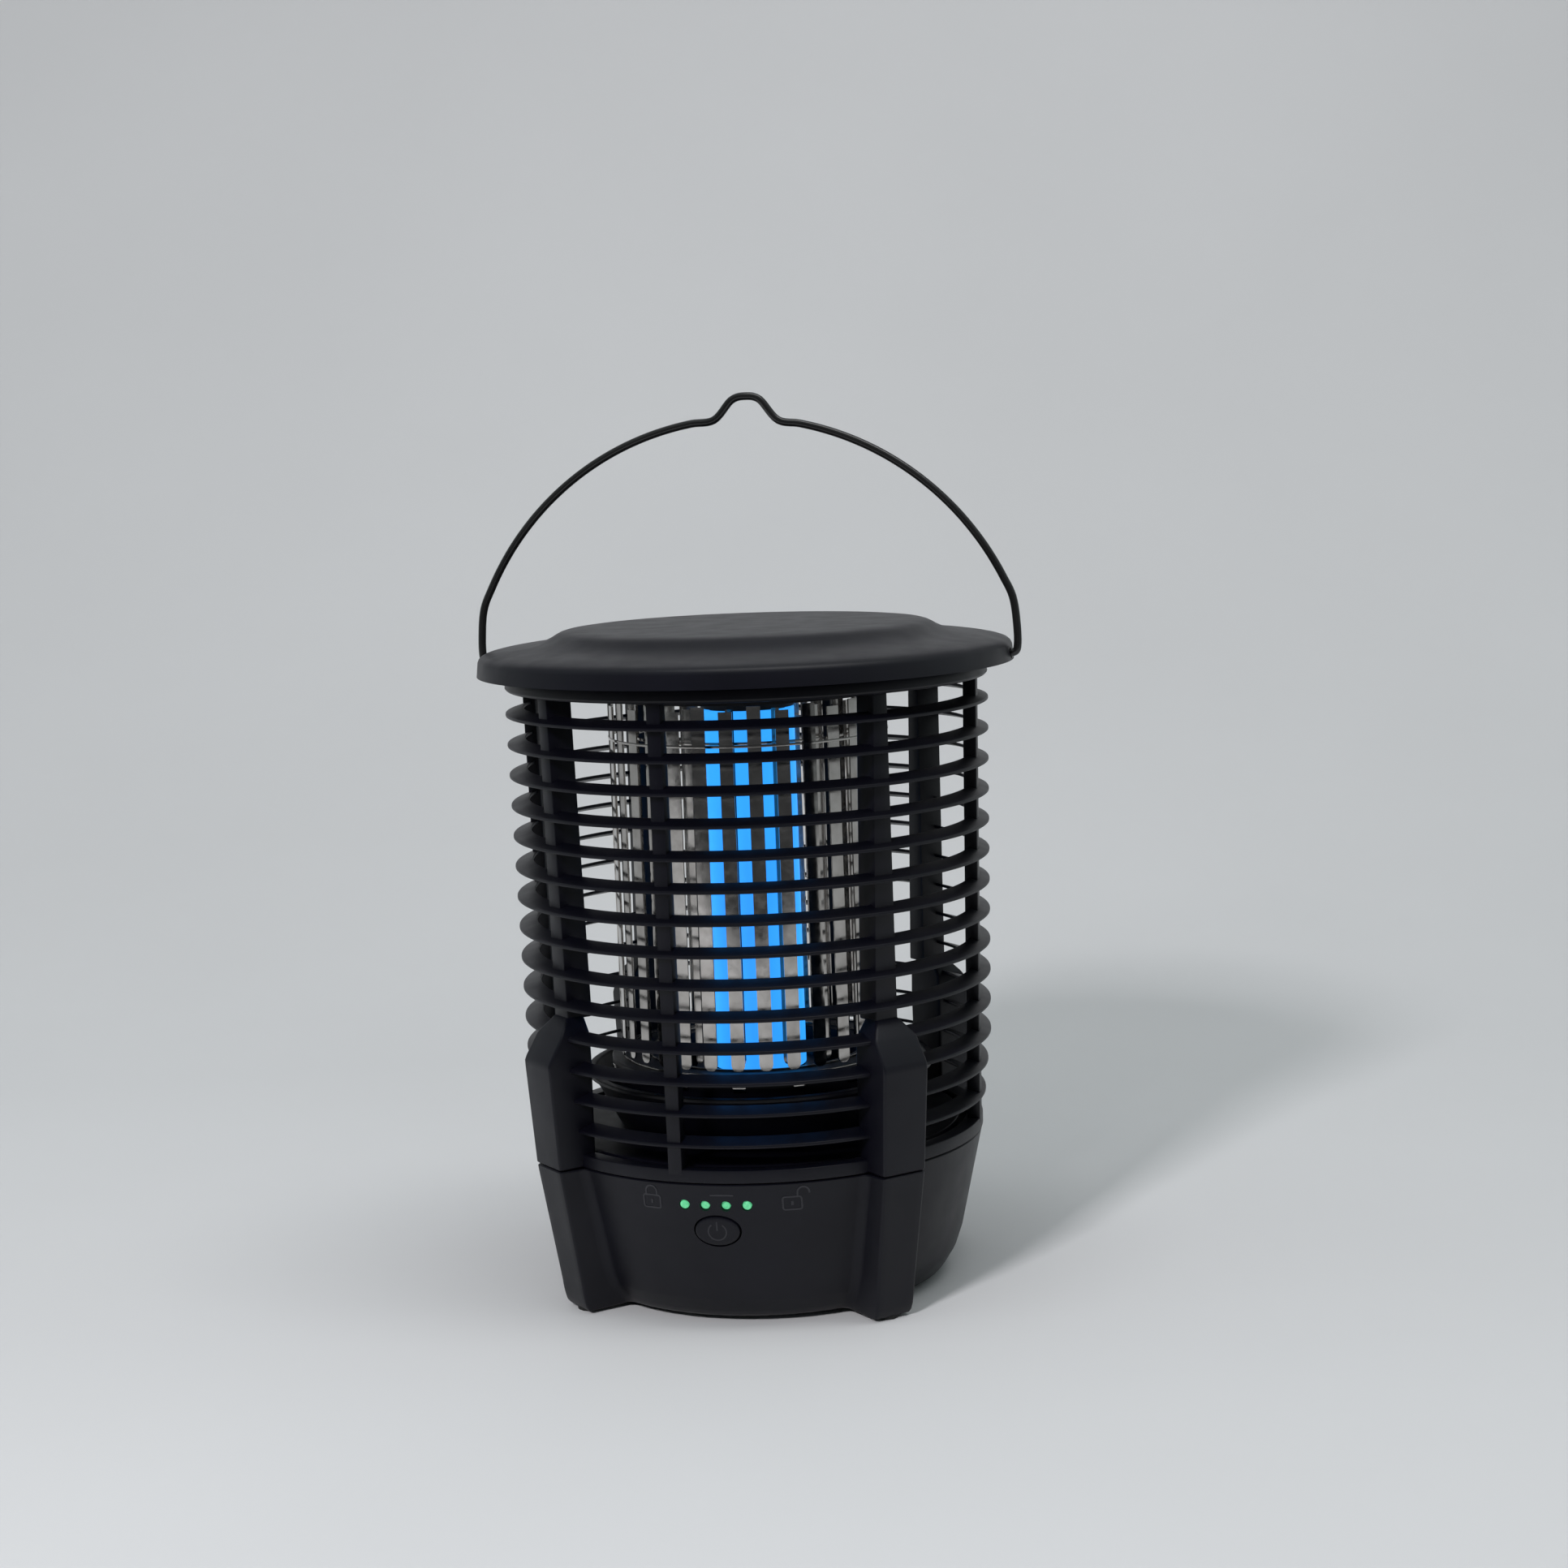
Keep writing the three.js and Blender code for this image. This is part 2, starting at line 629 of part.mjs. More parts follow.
// Metal socket, open towards the back, with a contact tongue inside.
function chargingPort() {
  const { z, width, height, depth, y, wall, mouth, tongue } = PORT;
  const back = y + depth;
  const slab = (x, y0, y1, high) => block(-x, x, y0, y1, z - high / 2, z + high / 2);
  const shell = slab(width / 2, y, back, height);
  const hollow = slab(width / 2 - wall, back - mouth, back + 1, height - 2 * wall);
  const blade = slab(width / 3, y + 1, back - 0.8, tongue);
  return fromSolid(toSolid(shell).subtract(toSolid(hollow)).add(toSolid(blade)));
}

// ---- Assembly ----

add('cage', cage(), blackPlastic());
for (let i = 0; i < LOUVRE.count; i += 1) add(`louvre_${i + 1}`, louvre(i), blackPlastic());
add('top_cover', lid(), blackPlastic());
add('handle', handle(), blackMetal());
addScrews('lid_screw', LID_SCREW, COLLAR.plateZ - GAP - LID_SCREW.headHigh);

add('outer_grid', gridCylinder(GRID.outerR, GRID.bars), steel());
add('inner_grid', gridCylinder(GRID.innerR, GRID.bars / 2), steel());
add('grid_bottom_holder', bottomHolder(), blackPlastic());
add('grid_top_holder', topHolder(), blackPlastic());
add('lamp_tube', sleeve(LAMP.r - LAMP.wall, LAMP.r, LAMP.z0, LAMP.z1), blueDiffuser());
add('lamp_board', lampBoard(), circuitBoard());
add('lamp_socket', lampSocket(), blackPart());
add('lamp_cap', lampCap(), blackPart());
add('insect_tray', insectTray(), blackPlastic());

const panel = panelFrame();
group.add(panel);
add('base_shell', baseShell(panel), blackPlastic());
add('base_deck', deck(), blackPlastic());
add('bottom_cover', bottomCover(), blackPlastic());
addScrews('bottom_screw', COVER_SCREW, COVER_Z);
addScrews('deck_screw', DECK_SCREW, BOARD.z0 - GAP - DECK_SCREW.headHigh);
MAIN_POST_ANGLES.forEach((angle, i) => {
  add(`foot_pad_${i + 1}`, onCircle(rod(PAD.r, 0, PAD.high, PAD_ROUND), PAD.at, angle), rubber());
});

add('battery_cradle', cellCradle(), blackPart());
[-1, 1].forEach((side, i) => {
  const cell = rod(CELL.r, -CELL.length / 2, CELL.length / 2, 24).rotateY(Math.PI / 2);
  add(`battery_cell_${i + 1}`, cell.translate(0, side * CELL.y, CELL.z), cellWrap());
});
add('main_board', mainBoard(), circuitBoard());
const onBoard = ({ x, y, z1 }) => block(...x, ...y, BOARD.z1 + GAP, z1);
add('hv_transformer', onBoard(TRANSFORMER), yellowTape());
add('hv_capacitor', onBoard(CAPACITOR), brownResin());
add('charging_port', chargingPort(), steel());

const buttonPlate = ellipsePlate(BUTTON.halfWidth, BUTTON.halfHeight, BUTTON.depth);
add('power_button', inward(buttonPlate, 0, 0, -BUTTON.proud), blackPlastic(), panel);
const switchFace = BUTTON.depth - BUTTON.proud + BUTTON.travel + GAP;
add('tact_switch', block(-SWITCH.half, SWITCH.half, switchFace, SWITCH.back, -SWITCH.half, SWITCH.half),
  blackPart(), panel);
lightPlaces.forEach((x, i) => {
  const light = inward(rod(LIGHT.r, 0, LIGHT.length), x, LIGHT.up, LIGHT.recess);
  add(`indicator_light_${i + 1}`, light, greenLens(), panel);
});
const { half, near, far, low, high } = PANEL_BOARD;
add('panel_board', block(-half, half, near, far, low, high), circuitBoard(), panel);

export default group;
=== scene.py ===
import json
import math

import bmesh
import bpy
from mathutils import Matrix, Vector


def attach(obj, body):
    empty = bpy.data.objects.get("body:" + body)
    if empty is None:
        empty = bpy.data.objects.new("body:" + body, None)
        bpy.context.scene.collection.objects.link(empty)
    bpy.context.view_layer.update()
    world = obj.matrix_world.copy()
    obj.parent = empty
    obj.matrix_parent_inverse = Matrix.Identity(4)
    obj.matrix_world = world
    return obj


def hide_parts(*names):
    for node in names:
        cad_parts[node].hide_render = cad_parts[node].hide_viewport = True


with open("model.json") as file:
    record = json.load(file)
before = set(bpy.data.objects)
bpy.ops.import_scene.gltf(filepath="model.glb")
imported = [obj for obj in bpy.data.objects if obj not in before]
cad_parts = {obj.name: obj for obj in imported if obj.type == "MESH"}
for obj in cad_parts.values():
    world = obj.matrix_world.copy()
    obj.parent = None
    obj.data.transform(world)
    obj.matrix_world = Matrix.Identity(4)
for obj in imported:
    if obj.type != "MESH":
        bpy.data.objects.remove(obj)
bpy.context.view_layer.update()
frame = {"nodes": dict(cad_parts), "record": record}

# Cordless electric bug zapper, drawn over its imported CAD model. Lengths in the tables are in
# millimetres, and angles are in degrees from the front (-Y) towards +X.

MM = 0.001

# ---- Dimensions ----

LOUVRE = {"count": 14, "top_z": 178.0, "pitch": 9.37, "width": 5.6, "rise": 1.7, "thick": 1.0}
LOUVRE_TOP_R = 74.0
LOUVRE_TWELFTH_R = 72.2
LOUVRE_LAST_R = (71.1, 70.1)
COLLAR = {"z0": 185.8, "z1": 189.6, "r": 74.0, "inner_r": 70.5, "plate_z": 187.6, "hole_r": 24.0}
RING = {"z0": 45.7, "z1": 49.5, "r": 68.9, "inner_r": 64.0}
POST = {"top_r": 71.3, "bottom_r": 68.9, "depth": 8.5, "top_half": 2.5, "low_half": 3.9}
THIN_POST = {"depth": 4.0, "half": 2.2}
MAIN_ANGLES = (45, 135, 225, 315)
THIN_ANGLES = (-9.5, 90, 170.5, 270)

# Upper leg sections: height, distance of the face from the axis, half width.
UPPER_LEG = (
    (91.0, 69.3, 3.5),
    (90.2, 70.2, 4.2),
    (86.2, 73.6, 7.0),
    (85.2, 74.3, 7.5),
    (79.0, 78.1, 7.75),
    (77.6, 78.7, 7.8),
    (76.2, 78.65, 7.8),
    (60.0, 77.45, 7.6),
    (46.1, 76.4, 7.4),
    (45.7, 76.0, 7.1),
)
LEG_INNER_R = 64.0

# Base rows from the rim down: wall radius and height, then leg face radius, height and half width.
BASE_ROWS = (
    (66.2, 45.3, 66.2, 45.3, 7.4),
    (68.2, 45.3, 75.9, 45.3, 7.2),
    (68.55, 44.95, 76.25, 44.95, 7.4),
    (67.9, 42.0, 75.79, 42.0, 7.35),
    (66.98, 38.0, 75.1, 38.0, 7.28),
    (66.09, 34.0, 74.42, 34.0, 7.21),
    (65.2, 30.0, 73.74, 30.0, 7.14),
    (64.32, 26.0, 73.05, 26.0, 7.07),
    (63.43, 22.0, 72.37, 22.0, 7.0),
    (62.54, 18.0, 71.69, 18.0, 6.94),
    (61.7, 14.2, 71.04, 14.2, 6.87),
    (60.72, 11.4, 70.56, 11.4, 6.82),
    (59.75, 8.6, 70.09, 8.6, 6.78),
    (59.3, 7.7, 69.93, 7.2, 6.75),
    (58.2, 6.0, 69.64, 5.4, 6.72),
    (57.1, 4.2, 69.3, 3.9, 6.7),
    (55.7, 2.4, 68.75, 2.1, 6.55),
    (54.6, 1.7, 67.9, 1.0, 6.35),
    (53.9, 1.6, 67.1, 0.8, 6.1),
    (52.5, 1.6, 60.6, 0.8, 6.1),
    (51.4, 1.6, 59.4, 1.0, 6.1),
    (50.2, 1.6, 50.2, 1.6, 6.1),
    (50.2, 4.0, 50.2, 4.0, 6.1),
    (42.5, 4.0, 42.5, 4.0, 6.1),
    (42.5, 6.6, 42.5, 6.6, 6.1),
    (54.6, 6.6, 54.6, 6.6, 6.1),
    (58.7, 14.2, 58.7, 14.2, 6.1),
)
LEG_EDGE = 0.9                      # rounding of the leg's outer edges
LEG_FILLET = 2.6                    # hollow rounding where the leg meets the wall
LEG_DRAFT = 0.6

LID_PROFILE = (
    (0.0, 201.0), (53.2, 200.7), (58.0, 198.8), (62.2, 197.2), (76.2, 195.1), (78.8, 193.6),
    (80.6, 190.6), (82.2, 190.4), (81.75, 194.6), (81.3, 195.6), (80.4, 196.35), (79.0, 196.85),
    (77.2, 197.25), (74.0, 197.75), (70.0, 198.25), (66.0, 198.75), (63.0, 199.4), (61.0, 200.15),
    (59.3, 200.95), (57.9, 201.8), (56.6, 202.45), (55.2, 202.85), (53.0, 203.1), (48.0, 203.2),
    (0.0, 203.2),
)

WIRE = {"r": 1.2, "pivot_z": 192.6, "side_x": 84.0, "straight_z": 201.0, "arc_r": 89.4, "arc_z": 176.1}
HOOK_X = 76.5
HUMP = {"x": 3.0, "half": 10.0, "rise": 6.6}

# Both grids stand on the same places; the inner one uses every second of them. Every second bar
# of the outer one is short, and so are all of the inner one.
GRID = {"bars": 32, "first": 3.75, "z0": 72.8, "z1": 181.7, "short_z": 180.2, "bar_thick": 0.5}
GRIDS = {
    "outer_grid": {"r": 42.9, "half": 2.05, "every": 1},
    "inner_grid": {"r": 35.0, "half": 1.2, "every": 2},
}
GRID_HOOP = {"z0": 169.6, "z1": 170.4, "thick": 0.5, "proud": 0.25}
GRID_FOOT = {"z0": 70.9, "z1": 71.6, "thick": 0.6, "back": 0.1}
GRID_TAB = {"first": 4.5, "near": 45.4, "far": 46.6, "z0": 67.3, "z1": 69.5, "half": 2.0}
HOLDER = {"r": 46.0, "inner_r": 31.5, "z0": 65.0, "z1": 71.0, "hub_r": 20.0, "hub_z": 62.0,
          "column_r": 17.0, "column_z": 49.5, "bore_r": 14.0, "spoke_half": 2.5}
LAMP = {"r": 14.4, "wall": 1.2, "z0": 66.0, "z1": 177.5}
LAMP_ENDS = {
    "lamp_socket": ((0, 62.5), (12.6, 62.5), (12.6, 65.7), (11.6, 65.7), (11.6, 69.5), (0, 69.5)),
    "lamp_cap": ((0, 174.0), (11.6, 174.0), (11.6, 177.8), (14.4, 177.8), (14.4, 181.5), (0, 181.5)),
}

TRAY_PROFILE = (
    (17.7, 49.6), (44.0, 49.6), (52.4, 65.6), (54.0, 65.6), (54.0, 67.0), (51.4, 67.0),
    (43.2, 51.0), (19.1, 51.0), (19.1, 58.0), (17.7, 58.0),
)
DECK_PROFILE = (
    (5.0, 46.8), (58.5, 46.8), (58.5, 42.8), (64.9, 42.8), (64.9, 45.2), (61.5, 45.2), (61.5, 49.2),
    (5.0, 49.2),
)
DECK_LUG = {"near": 60.5, "far": 62.9, "z0": 46.9, "z1": 49.2, "half": 7.0}
DECK_BOSS = {"from_axis": 40.0, "r": 3.5, "z0": 35.5, "z1": 47.5}

WALL_LOW = (61.7, 14.2)
WALL_RIM = (68.6, 45.3)
WALL_TILT = math.atan((WALL_RIM[0] - WALL_LOW[0]) / (WALL_RIM[1] - WALL_LOW[1]))
PANEL_Z = 30.6
PANEL_R = WALL_RIM[0] - (WALL_RIM[1] - PANEL_Z) * math.tan(WALL_TILT)
BUTTON = {"half_width": 6.7, "half_height": 4.7, "depth": 3.4, "proud": 0.3, "slot": 0.45}
ICON = {"r": 2.7, "width": 0.42, "proud": 0.2, "stem": (0.4, 3.3)}
LIGHT = {"r": 1.35, "hole": 1.65, "count": 4, "pitch": 6.2, "up": 8.1, "length": 4.6, "recess": 0.6}
PORT = {"z": 22.0, "width": 9.6, "height": 3.9}
PADLOCK = {"low": 37.0, "width": 5.6, "body_high": 4.0}
MARK_WIDTH = 0.5

# The sheet's lengths are in metres. The camera's turns are in radians, apart from `side`.
SHEET = {"reach": 2.5, "front": -0.62, "flat": 0.3, "bend": 0.95, "high": 3.5, "turn": 12}
CAMERA = {"side": 12.705, "distance": 853.9, "height": 260.3,
          "pan": 0.01227, "tilt": 0.12484, "roll": -0.0364, "lens": 63.99}


# ---- Geometry helpers ----

class Shape:
    """Vertices and faces of one piece, gathered from several closed parts."""

    def __init__(self):
        self.verts = []
        self.faces = []

    def add(self, verts, faces):
        start = len(self.verts)
        self.verts.extend(verts)
        self.faces.extend(tuple(start + i for i in face) for face in faces)
        return self


def polar(radius, angle, z, side=0.0):
    a = math.radians(angle)
    return Vector((
        radius * math.sin(a) + side * math.cos(a),
        -radius * math.cos(a) + side * math.sin(a),
        z,
    )) * MM


def loft(rings, closed=False):
    """Skin over rings that have the same number of points. An open loft gets flat ends."""
    count = len(rings[0])
    verts = [v for ring in rings for v in ring]
    faces = []
    for i in range(len(rings) if closed else len(rings) - 1):
        k = (i + 1) % len(rings)
        for j in range(count):
            m = (j + 1) % count
            faces.append((i * count + j, i * count + m, k * count + m, k * count + j))
    if not closed:
        faces.append(tuple(range(count))[::-1])
        last = (len(rings) - 1) * count
        faces.append(tuple(range(last, last + count)))
    return verts, faces


def rounded(points, radius, steps=3):
    """Closed outline with its corners rounded off."""
    out = []
    for i, point in enumerate(points):
        p = Vector(point)
        before = Vector(points[i - 1]) - p
        after = Vector(points[(i + 1) % len(points)]) - p
        start = p + before.normalized() * min(radius, 0.45 * before.length)
        end = p + after.normalized() * min(radius, 0.45 * after.length)
        for k in range(steps + 1):
            t = k / steps
            out.append(tuple((1 - t) ** 2 * start + 2 * t * (1 - t) * p + t * t * end))
    return out


def lathe(profile, segments=160):
    """Solid of revolution of a closed outline of (radius, z)."""
    rings = [[polar(r, 360 * j / segments, z) for r, z in profile] for j in range(segments)]
    return loft(rings, closed=True)


def hull(corners, bevel=0.0, steps=2):
    """Convex solid round the corners, with rounded edges."""
    bm = bmesh.new()
    for corner in corners:
        bm.verts.new(corner)
    bmesh.ops.convex_hull(bm, input=bm.verts)
    bmesh.ops.dissolve_limit(bm, angle_limit=0.01, verts=bm.verts, edges=bm.edges)
    if bevel:
        bmesh.ops.bevel(bm, geom=list(bm.edges), offset=bevel * MM, segments=steps,
                        profile=0.5, affect="EDGES")
    bm.verts.index_update()
    verts = [v.co.copy() for v in bm.verts]
    faces = [tuple(v.index for v in face.verts) for face in bm.faces]
    bm.free()
    return verts, faces


def strut(angle, ends, bevel=0.0):
    """Solid between rectangles across a radial direction. An end is (z, near, far, half width)."""
    corners = [
        polar(radius, angle, z, side)
        for z, near, far, half in ends for radius in (near, far) for side in (-half, half)
    ]
    return hull(corners, bevel)


def smooth_path(points, per=6):
    """Centripetal Catmull-Rom line through the points."""
    line = [points[0] * 2 - points[1], *points, points[-1] * 2 - points[-2]]
    out = []
    for p0, p1, p2, p3 in zip(line, line[1:], line[2:], line[3:]):
        t0 = 0.0
        t1 = t0 + math.sqrt((p1 - p0).length)
        t2 = t1 + math.sqrt((p2 - p1).length)
        t3 = t2 + math.sqrt((p3 - p2).length)
        for k in range(per):
            t = t1 + (t2 - t1) * k / per
            a1 = p0.lerp(p1, (t - t0) / (t1 - t0))
            a2 = p1.lerp(p2, (t - t1) / (t2 - t1))
            a3 = p2.lerp(p3, (t - t2) / (t3 - t2))
            b1 = a1.lerp(a2, (t - t0) / (t2 - t0))
            b2 = a2.lerp(a3, (t - t1) / (t3 - t1))
            out.append(b1.lerp(b2, (t - t1) / (t2 - t1)))
    out.append(points[-1])
    return out


def tube(points, radius, normal, sides=16):
    """Round bar along a flat line whose plane has that normal."""
    rings = []
    for i, point in enumerate(points):
        along = (points[min(i + 1, len(points) - 1)] - points[max(i - 1, 0)]).normalized()
        across = along.cross(normal).normalized()
        rings.append([
            point + (across * math.cos(a) + normal * math.sin(a)) * radius
            for a in (2 * math.pi * k / sides for k in range(sides))
        ])
    return loft(rings)


def mesh_from(name, shape, sharp=32):
    mesh = bpy.data.meshes.new(name)
    mesh.from_pydata([tuple(v) for v in shape.verts], [], shape.faces)
    bm = bmesh.new()
    bm.from_mesh(mesh)
    bmesh.ops.remove_doubles(bm, verts=bm.verts, dist=1e-6)
    bmesh.ops.recalc_face_normals(bm, faces=bm.faces)
    bm.to_mesh(mesh)
    bm.free()
    mesh.shade_smooth()
    mesh.set_sharp_from_angle(angle=math.radians(sharp))
    return mesh


def piece(name, shape, material, body, replaced=(), sharp=32):
    """Puts a finished piece in the scene, riding on its CAD body."""
    obj = bpy.data.objects.new(name, mesh_from(name, shape, sharp))
    bpy.context.scene.collection.objects.link(obj)
    obj.data.materials.append(material)
    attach(obj, body)
    if replaced:
        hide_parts(*replaced)
    return obj


def cut(obj, cutter_shape, sharp=32):
    """Takes a shape out of an object for good."""
    cutter = bpy.data.objects.new("cutter", mesh_from("cutter", cutter_shape))
    bpy.context.scene.collection.objects.link(cutter)
    modifier = obj.modifiers.new("cut", "BOOLEAN")
    modifier.operation = "DIFFERENCE"
    modifier.solver = "EXACT"
    modifier.object = cutter
    graph = bpy.context.evaluated_depsgraph_get()
    carved = bpy.data.meshes.new_from_object(obj.evaluated_get(graph))
    obj.modifiers.remove(modifier)
    bpy.data.objects.remove(cutter)
    obj.data = carved
    carved.shade_smooth()
    carved.set_sharp_from_angle(angle=math.radians(sharp))


# ---- Materials ----

def new_material(name):
    material = bpy.data.materials.new(name)
    material.use_nodes = True
    tree = material.node_tree
    return material, tree, tree.nodes["Principled BSDF"]


def noise(tree, size, detail=3.0, rough=0.5, stretch=(1, 1, 1)):
    """Noise whose features are about `size` millimetres across."""
    place = tree.nodes.new("ShaderNodeTexCoord")
    scaled = tree.nodes.new("ShaderNodeMapping")
    scaled.inputs["Scale"].default_value = stretch
    texture = tree.nodes.new("ShaderNodeTexNoise")
    texture.inputs["Scale"].default_value = 1 / (size * MM)
    texture.inputs["Detail"].default_value = detail
    texture.inputs["Roughness"].default_value = rough
    tree.links.new(place.outputs["Object"], scaled.inputs["Vector"])
    tree.links.new(scaled.outputs["Vector"], texture.inputs["Vector"])
    return texture.outputs["Fac"]


def ramp(tree, factor, stops):
    node = tree.nodes.new("ShaderNodeValToRGB")
    elements = node.color_ramp.elements
    while len(elements) < len(stops):
        elements.new(0.5)
    for element, (position, color) in zip(elements, stops):
        element.position = position
        element.color = (*color, 1)
    tree.links.new(factor, node.inputs["Fac"])
    return node.outputs["Color"]


def spread(tree, factor, low, high, start=0.3, end=0.7):
    node = tree.nodes.new("ShaderNodeMapRange")
    node.inputs["From Min"].default_value = start
    node.inputs["From Max"].default_value = end
    node.inputs["To Min"].default_value = low
    node.inputs["To Max"].default_value = high
    tree.links.new(factor, node.inputs["Value"])
    return node.outputs["Result"]


def bump(tree, bsdf, height, depth, strength=1.0):
    node = tree.nodes.new("ShaderNodeBump")
    node.inputs["Distance"].default_value = depth * MM
    node.inputs["Strength"].default_value = strength
    tree.links.new(height, node.inputs["Height"])
    tree.links.new(node.outputs["Normal"], bsdf.inputs["Normal"])


def surface(name, dark, light, *, roughness, grain, depth, metallic=0.0, patch=22.0,
            stretch=(1, 1, 1), specular=0.5):
    """Finish with uneven tone and gloss over a few centimetres, and a fine grain of real depth."""
    material, tree, bsdf = new_material(name)
    tone = ramp(tree, noise(tree, patch, 5.0), [(0.3, dark), (0.7, light)])
    tree.links.new(tone, bsdf.inputs["Base Color"])
    gloss = spread(tree, noise(tree, patch * 0.4, 4.0), roughness[0], roughness[1])
    tree.links.new(gloss, bsdf.inputs["Roughness"])
    bsdf.inputs["Metallic"].default_value = metallic
    bsdf.inputs["Specular IOR Level"].default_value = specular
    bump(tree, bsdf, noise(tree, grain, 2.0, 0.6, stretch), depth)
    return material


def glow(name, stops, strength, size, stretch=(1, 1, 1)):
    """Lit plastic whose brightness wanders a little."""
    material, tree, bsdf = new_material(name)
    color = ramp(tree, noise(tree, size, 2.0, 0.5, stretch), stops)
    tree.links.new(color, bsdf.inputs["Base Color"])
    tree.links.new(color, bsdf.inputs["Emission Color"])
    bsdf.inputs["Emission Strength"].default_value = strength
    bsdf.inputs["Roughness"].default_value = 0.35
    bump(tree, bsdf, noise(tree, 0.4), 0.01)
    return material


BLACK = surface("moulded_black", (0.0024, 0.0024, 0.0048), (0.0036, 0.0036, 0.007),
                roughness=(0.4, 0.47), grain=0.28, depth=0.012, specular=0.3)
# Raised marks in the same black plastic as the body. Their lighter tone is a painted highlight, standing in
# for light catching the relief.
MARK = surface("raised_mark_painted_highlight", (0.01, 0.01, 0.014), (0.016, 0.016, 0.021),
               roughness=(0.35, 0.45), grain=0.2, depth=0.008, patch=2.0)
MATERIALS = {
    "black_plastic": BLACK,
    "handle_wire": surface(
        "glossy_black_wire", (0.006, 0.006, 0.006), (0.011, 0.011, 0.011),
        roughness=(0.16, 0.26), grain=1.4, depth=0.01),
    "grid_metal": surface(
        "polished_grid", (0.36, 0.34, 0.32), (0.5, 0.48, 0.46),
        roughness=(0.06, 0.15), grain=0.5, depth=0.003, metallic=1.0, patch=6.0, stretch=(1, 1, 0.08)),
    "screw_steel": surface(
        "plated_steel", (0.42, 0.42, 0.44), (0.6, 0.6, 0.62),
        roughness=(0.22, 0.38), grain=0.3, depth=0.006, metallic=1.0, patch=3.0),
    "circuit_board": surface(
        "solder_mask", (0.006, 0.05, 0.018), (0.012, 0.09, 0.035),
        roughness=(0.3, 0.45), grain=0.5, depth=0.02, patch=6.0),
    "inner_plastic": surface(
        "inner_black", (0.012, 0.012, 0.013), (0.02, 0.02, 0.022),
        roughness=(0.45, 0.6), grain=0.3, depth=0.015),
    "pad_rubber": surface(
        "pad_rubber", (0.008, 0.008, 0.008), (0.02, 0.02, 0.019),
        roughness=(0.75, 0.9), grain=0.25, depth=0.03, patch=4.0),
    "cell_wrap": surface(
        "shrink_wrap", (0.015, 0.07, 0.28), (0.025, 0.1, 0.38),
        roughness=(0.22, 0.34), grain=0.8, depth=0.01),
    "coil_tape": surface(
        "coil_tape", (0.5, 0.3, 0.03), (0.62, 0.4, 0.06),
        roughness=(0.35, 0.5), grain=1.2, depth=0.02, patch=5.0, stretch=(1, 1, 3)),
    "film_resin": surface(
        "dipped_resin", (0.2, 0.02, 0.01), (0.3, 0.04, 0.02),
        roughness=(0.2, 0.32), grain=1.5, depth=0.03, patch=5.0),
    "lamp_blue": glow(
        "blue_diffuser", [(0.25, (0.03, 0.29, 0.95)), (0.75, (0.035, 0.42, 1.0))],
        strength=1.05, size=30.0, stretch=(1, 1, 0.35)),
    "indicator_green": glow(
        "green_lens", [(0.3, (0.06, 0.36, 0.16)), (0.7, (0.11, 0.47, 0.23))],
        strength=0.7, size=0.9),
}


# ---- Cage ----

def louvre_radius(i):
    twelfth = 11
    if i <= twelfth:
        return LOUVRE_TOP_R + (LOUVRE_TWELFTH_R - LOUVRE_TOP_R) * i / twelfth
    return LOUVRE_LAST_R[i - twelfth - 1]


def louvre(i):
    r = louvre_radius(i)
    z = LOUVRE["top_z"] - i * LOUVRE["pitch"]
    inner_r = r - LOUVRE["width"]
    inner_z = z + LOUVRE["rise"]
    thick = LOUVRE["thick"]
    outline = [(r, z), (r, z + thick), (inner_r, inner_z + thick), (inner_r, inner_z)]
    return lathe(rounded(outline, 0.35))


def post_face(z):
    share = (z - RING["z0"]) / (COLLAR["z0"] - RING["z0"])
    return POST["bottom_r"] + (POST["top_r"] - POST["bottom_r"]) * share


def upper_leg(angle):
    """Tapered block with rounded outer edges, from its shoulder down to the seam."""
    rings = []
    for z, far, half in UPPER_LEG:
        outline = [(LEG_INNER_R, -half), (far, -half), (far, half), (LEG_INNER_R, half)]
        rings.append([polar(r, angle, z, side) for r, side in rounded(outline, LEG_EDGE, 4)])
    return loft(rings)


def build_cage():
    shape = Shape()
    for i in range(LOUVRE["count"]):
        shape.add(*louvre(i))
    collar = [
        (COLLAR["hole_r"], COLLAR["plate_z"]), (COLLAR["inner_r"], COLLAR["plate_z"]),
        (COLLAR["inner_r"], COLLAR["z0"]), (COLLAR["r"] - 0.8, COLLAR["z0"]),
        (COLLAR["r"], COLLAR["z0"] + 0.8), (COLLAR["r"] - 0.6, COLLAR["z1"]),
        (COLLAR["hole_r"], COLLAR["z1"]),
    ]
    shape.add(*lathe(rounded(collar, 0.3)))
    ring = [(RING["inner_r"], RING["z0"]), (RING["r"], RING["z0"]),
            (RING["r"], RING["z1"]), (RING["inner_r"], RING["z1"])]
    shape.add(*lathe(rounded(ring, 0.4)))
    top, low, bottom = COLLAR["z0"] + 1, UPPER_LEG[0][0] - 1, RING["z0"] + 2
    for angle in MAIN_ANGLES:
        ends = [(top, post_face(top) - POST["depth"], post_face(top), POST["top_half"]),
                (low, post_face(low) - POST["depth"], post_face(low), POST["low_half"])]
        shape.add(*strut(angle, ends, 0.5))
        shape.add(*upper_leg(angle))
    for angle in THIN_ANGLES:
        ends = [(z, post_face(z) - THIN_POST["depth"], post_face(z), THIN_POST["half"])
                for z in (top, bottom)]
        shape.add(*strut(angle, ends, 0.4))
    louvres = [f"louvre_{i + 1}" for i in range(LOUVRE["count"])]
    piece("cage_visual", shape, BLACK, "cage", ["cage", *louvres])


# ---- Lid and handle ----

